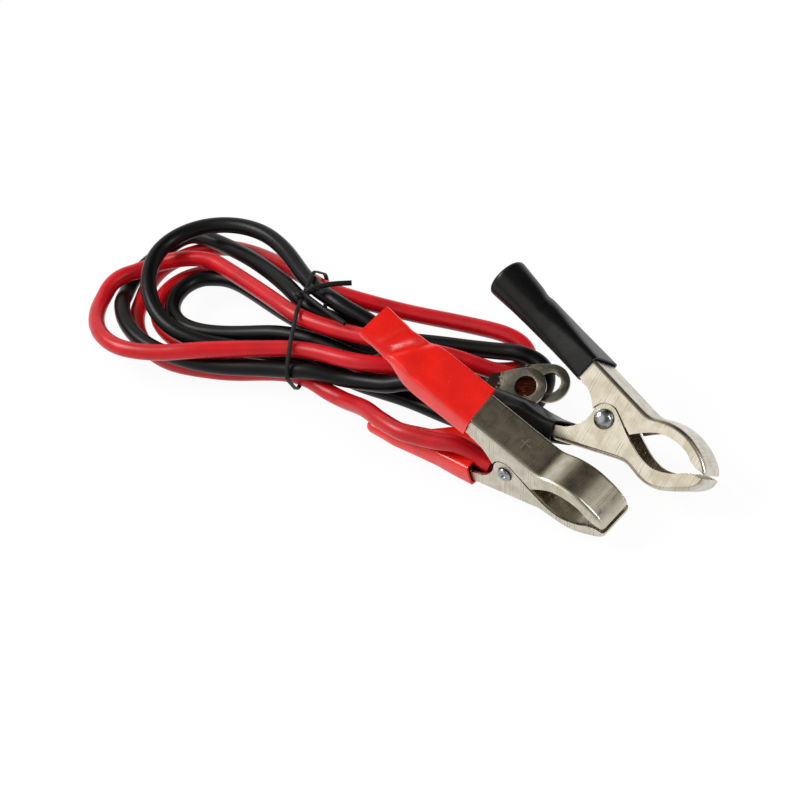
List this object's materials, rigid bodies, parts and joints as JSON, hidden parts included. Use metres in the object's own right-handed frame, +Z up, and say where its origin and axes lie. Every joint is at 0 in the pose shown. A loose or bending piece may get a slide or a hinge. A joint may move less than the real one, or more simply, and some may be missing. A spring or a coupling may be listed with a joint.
{
  "type": "battery lead pair",
  "caption": "Pair of battery leads, red and black: a sprung battery clip on one end and a ring terminal on the other, folded in a tied hank.",
  "frame": {"origin": "middle of the two clips' bounding box, on the surface that they lie on", "axes": "+X along the clips, towards their jaws; +Y from the red clip to the black clip; +Z up"},
  "size_m": [0.2129, 0.0712, 0.0446],
  "materials": {
    "nickel_steel": "satin nickel plate",
    "rivet_steel": "bright",
    "red_boot_pvc": "gloss",
    "black_boot_pvc": "satin",
    "red_cable_pvc": "satin",
    "black_cable_pvc": "satin",
    "bare_copper": "dull, unpolished copper",
    "tie_plastic": "matt"
  },
  "bodies": {
    "base": {"red_lower_arm": "nickel_steel", "red_lower_boot": "red_boot_pvc", "red_rivet": "rivet_steel", "red_spring": "nickel_steel", "black_lower_arm": "nickel_steel", "black_lower_boot": "black_boot_pvc", "black_rivet": "rivet_steel", "black_spring": "nickel_steel", "red_clip_lead": "red_cable_pvc", "red_hank": "red_cable_pvc", "red_ring_lead": "red_cable_pvc", "black_clip_lead": "black_cable_pvc", "black_hank": "black_cable_pvc", "black_ring_lead": "black_cable_pvc", "red_ring_terminal": "nickel_steel", "black_ring_terminal": "nickel_steel", "red_ring_conductor": "bare_copper", "black_ring_conductor": "bare_copper", "red_conductor": "bare_copper", "black_conductor": "bare_copper", "twist_tie": "tie_plastic"},
    "red_upper": {"red_upper_arm": "nickel_steel", "red_upper_boot": "red_boot_pvc"},
    "black_upper": {"black_upper_arm": "nickel_steel", "black_upper_boot": "black_boot_pvc"}
  },
  "joints": [
    {"name": "red_jaw", "type": "hinge", "parent": "base", "child": "red_upper", "pos_m": [0.00225, -0.018, 0.01246], "axis": [0, -1, 0], "range_deg": [0, 20], "stiffness_Nm_per_rad": 0.6, "springref_deg": -20.05, "deforming": ["red_spring"]},
    {"name": "black_jaw", "type": "hinge", "parent": "base", "child": "black_upper", "pos_m": [0.01695, 0.00585, 0.01453], "axis": [0.1426, -0.6693, 0.7292], "range_deg": [0, 20], "stiffness_Nm_per_rad": 0.6, "springref_deg": -20.05, "deforming": ["black_spring"]}
  ]
}
